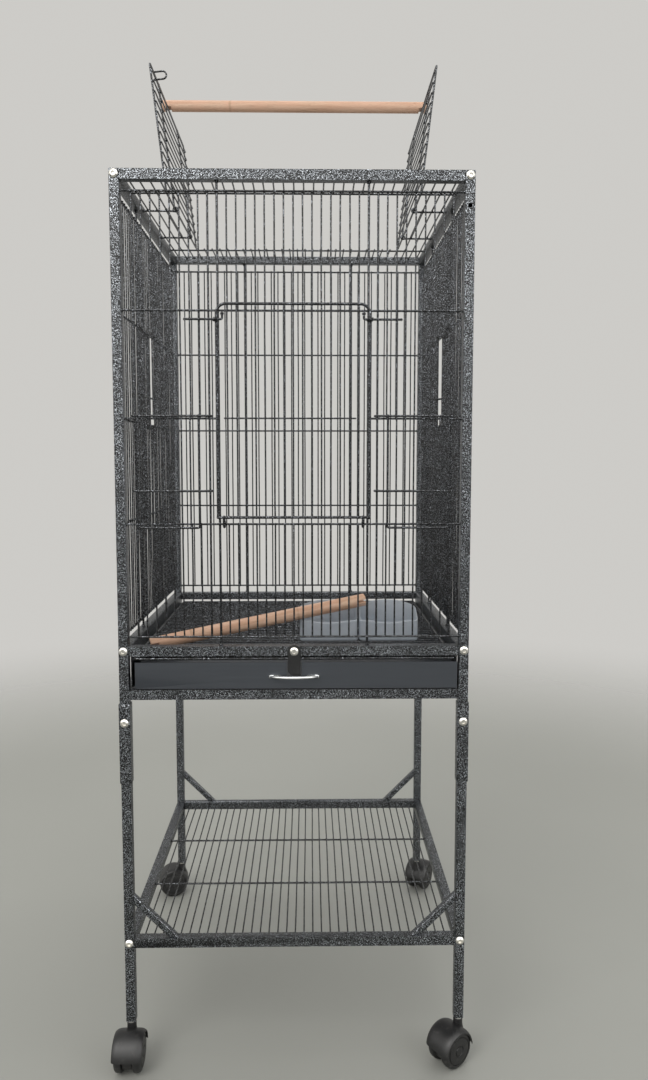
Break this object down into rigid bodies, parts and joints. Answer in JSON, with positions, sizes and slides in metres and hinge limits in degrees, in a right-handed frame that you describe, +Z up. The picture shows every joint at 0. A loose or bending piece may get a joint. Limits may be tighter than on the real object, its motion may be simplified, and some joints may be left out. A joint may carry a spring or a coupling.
{
  "type": "bird cage on stand",
  "caption": "Square wire bird cage with opening roof flaps, drop-down door, slide-up feeder doors and slide-out tray, on a rolling stand with a wire shelf.",
  "frame": {"origin": "on the floor, in the middle of the cage frame in width and depth", "axes": "+Z up, -Y towards the front with the main door, +X to the right seen from the front"},
  "size_m": [0.5322, 0.538, 1.3601],
  "materials": {
    "frame_paint": "black powder coat with fine hammered silver veins",
    "wire_paint": "black powder coat on wire, slightly silver veined",
    "tray_paint": "smooth satin blue black paint",
    "bolt_steel": "zinc plated button heads",
    "handle_chrome": "bright chrome bow",
    "perch_wood": "unvarnished pale hardwood dowel",
    "cup_plastic": "translucent smoky moulded plastic",
    "tab_plastic": "black",
    "caster_plastic": "black moulded plastic",
    "wheel_plastic": "black moulded nylon, worn tread"
  },
  "bodies": {
    "frame": {"post_front_left": "frame_paint", "post_front_right": "frame_paint", "post_back_left": "frame_paint", "post_back_right": "frame_paint", "front_tubes": "frame_paint", "back_tubes": "frame_paint", "left_tubes": "frame_paint", "right_tubes": "frame_paint", "front_grille": "wire_paint", "back_grille": "wire_paint", "left_grille": "wire_paint", "right_grille": "wire_paint", "roof_grille": "wire_paint", "runner_left": "tray_paint", "runner_right": "tray_paint", "cage_bolts": "bolt_steel", "leg_front_left": "frame_paint", "leg_front_right": "frame_paint", "leg_back_left": "frame_paint", "leg_back_right": "frame_paint", "shelf_tubes": "frame_paint", "shelf_grille": "wire_paint", "shelf_braces": "frame_paint", "stand_bolts": "bolt_steel", "leg_plugs": "caster_plastic", "caster_washers": "bolt_steel", "floor_grille": "wire_paint"},
    "main_door": {"main_door": "wire_paint"},
    "latch_left": {"door_latch_left": "wire_paint"},
    "latch_right": {"door_latch_right": "wire_paint"},
    "feeder_door_left": {"feeder_door_left": "wire_paint"},
    "feeder_door_right": {"feeder_door_right": "wire_paint"},
    "side_door_left": {"side_door_left": "wire_paint"},
    "side_door_right": {"side_door_right": "wire_paint"},
    "roof_flap_left": {"roof_flap_left": "wire_paint"},
    "roof_flap_right": {"roof_flap_right": "wire_paint"},
    "top_perch": {"top_perch": "perch_wood"},
    "tray": {"tray": "tray_paint", "tray_handle": "handle_chrome"},
    "lock_tab": {"lock_tab": "tab_plastic"},
    "seed_cups": {"cup_left": "cup_plastic", "cup_right": "cup_plastic"},
    "floor_perch": {"floor_perch": "perch_wood"},
    "caster_front_left": {"caster_front_left": "caster_plastic"},
    "wheels_front_left": {"wheels_front_left": "wheel_plastic"},
    "caster_front_right": {"caster_front_right": "caster_plastic"},
    "wheels_front_right": {"wheels_front_right": "wheel_plastic"},
    "caster_back_left": {"caster_back_left": "caster_plastic"},
    "wheels_back_left": {"wheels_back_left": "wheel_plastic"},
    "caster_back_right": {"caster_back_right": "caster_plastic"},
    "wheels_back_right": {"wheels_back_right": "wheel_plastic"}
  },
  "joints": [
    {"name": "main_door_hinge", "type": "hinge", "parent": "frame", "child": "main_door", "pos_m": [0, -0.2257, 0.73832], "axis": [1, 0, 0], "range_deg": [0, 105]},
    {"name": "latch_left_slide", "type": "slide", "parent": "main_door", "child": "latch_left", "axis": [1, 0, 0], "range_m": [0, 0.03]},
    {"name": "latch_right_slide", "type": "slide", "parent": "main_door", "child": "latch_right", "axis": [-1, 0, 0], "range_m": [0, 0.03]},
    {"name": "feeder_door_left_slide", "type": "slide", "parent": "frame", "child": "feeder_door_left", "axis": [0, 0, 1], "range_m": [0, 0.088]},
    {"name": "feeder_door_right_slide", "type": "slide", "parent": "frame", "child": "feeder_door_right", "axis": [0, 0, 1], "range_m": [0, 0.088]},
    {"name": "side_door_left_slide", "type": "slide", "parent": "frame", "child": "side_door_left", "axis": [0, 0, 1], "range_m": [0, 0.088]},
    {"name": "side_door_right_slide", "type": "slide", "parent": "frame", "child": "side_door_right", "axis": [0, 0, 1], "range_m": [0, 0.088]},
    {"name": "roof_flap_left_hinge", "type": "hinge", "parent": "frame", "child": "roof_flap_left", "pos_m": [-0.1716, 0, 1.18], "axis": [0, 1, 0], "range_deg": [0, 96.7]},
    {"name": "roof_flap_right_hinge", "type": "hinge", "parent": "frame", "child": "roof_flap_right", "pos_m": [0.1716, 0, 1.18], "axis": [0, -1, 0], "range_deg": [0, 96.7]},
    {"name": "top_perch_lift", "type": "slide", "parent": "frame", "child": "top_perch", "axis": [0, 0, 1], "range_m": [0, 0.51]},
    {"name": "tray_slide", "type": "slide", "parent": "frame", "child": "tray", "axis": [0, -1, 0], "range_m": [0, 0.38]},
    {"name": "lock_tab_pivot", "type": "hinge", "parent": "frame", "child": "lock_tab", "pos_m": [0, -0.23, 0.5715], "axis": [0, 1, 0], "range_deg": [-100, 100]},
    {"name": "seed_cups_lift", "type": "slide", "parent": "frame", "child": "seed_cups", "axis": [0, 0, 1], "range_m": [0, 0.12]},
    {"name": "floor_perch_lift", "type": "slide", "parent": "seed_cups", "child": "floor_perch", "axis": [0, 0, 1], "range_m": [0, 0.12]},
    {"name": "caster_front_left_swivel", "type": "hinge", "parent": "frame", "child": "caster_front_left", "pos_m": [-0.2235, -0.2235, 0.06], "axis": [0, 0, 1], "continuous": true},
    {"name": "wheels_front_left_spin", "type": "hinge", "parent": "caster_front_left", "child": "wheels_front_left", "pos_m": [-0.2235, -0.2395, 0.025], "axis": [1, 0, 0], "continuous": true},
    {"name": "caster_front_right_swivel", "type": "hinge", "parent": "frame", "child": "caster_front_right", "pos_m": [0.2235, -0.2235, 0.06], "axis": [0, 0, 1], "continuous": true},
    {"name": "wheels_front_right_spin", "type": "hinge", "parent": "caster_front_right", "child": "wheels_front_right", "pos_m": [0.21072, -0.23313, 0.025], "axis": [0.6018, -0.7986, 0], "continuous": true},
    {"name": "caster_back_left_swivel", "type": "hinge", "parent": "frame", "child": "caster_back_left", "pos_m": [-0.2235, 0.2235, 0.06], "axis": [0, 0, 1], "continuous": true},
    {"name": "wheels_back_left_spin", "type": "hinge", "parent": "caster_back_left", "child": "wheels_back_left", "pos_m": [-0.23926, 0.22072, 0.025], "axis": [0.1736, -0.9848, 0], "continuous": true},
    {"name": "caster_back_right_swivel", "type": "hinge", "parent": "frame", "child": "caster_back_right", "pos_m": [0.2235, 0.2235, 0.06], "axis": [0, 0, 1], "continuous": true},
    {"name": "wheels_back_right_spin", "type": "hinge", "parent": "caster_back_right", "child": "wheels_back_right", "pos_m": [0.2315, 0.23736, 0.025], "axis": [-0.866, 0.5, 0], "continuous": true}
  ],
  "couplings": [
    {"joint": "roof_flap_right_hinge", "follows": "roof_flap_left_hinge", "ratio": 1},
    {"joint": "top_perch_lift", "follows": "roof_flap_left_hinge", "m_per_rad": 0.3}
  ]
}
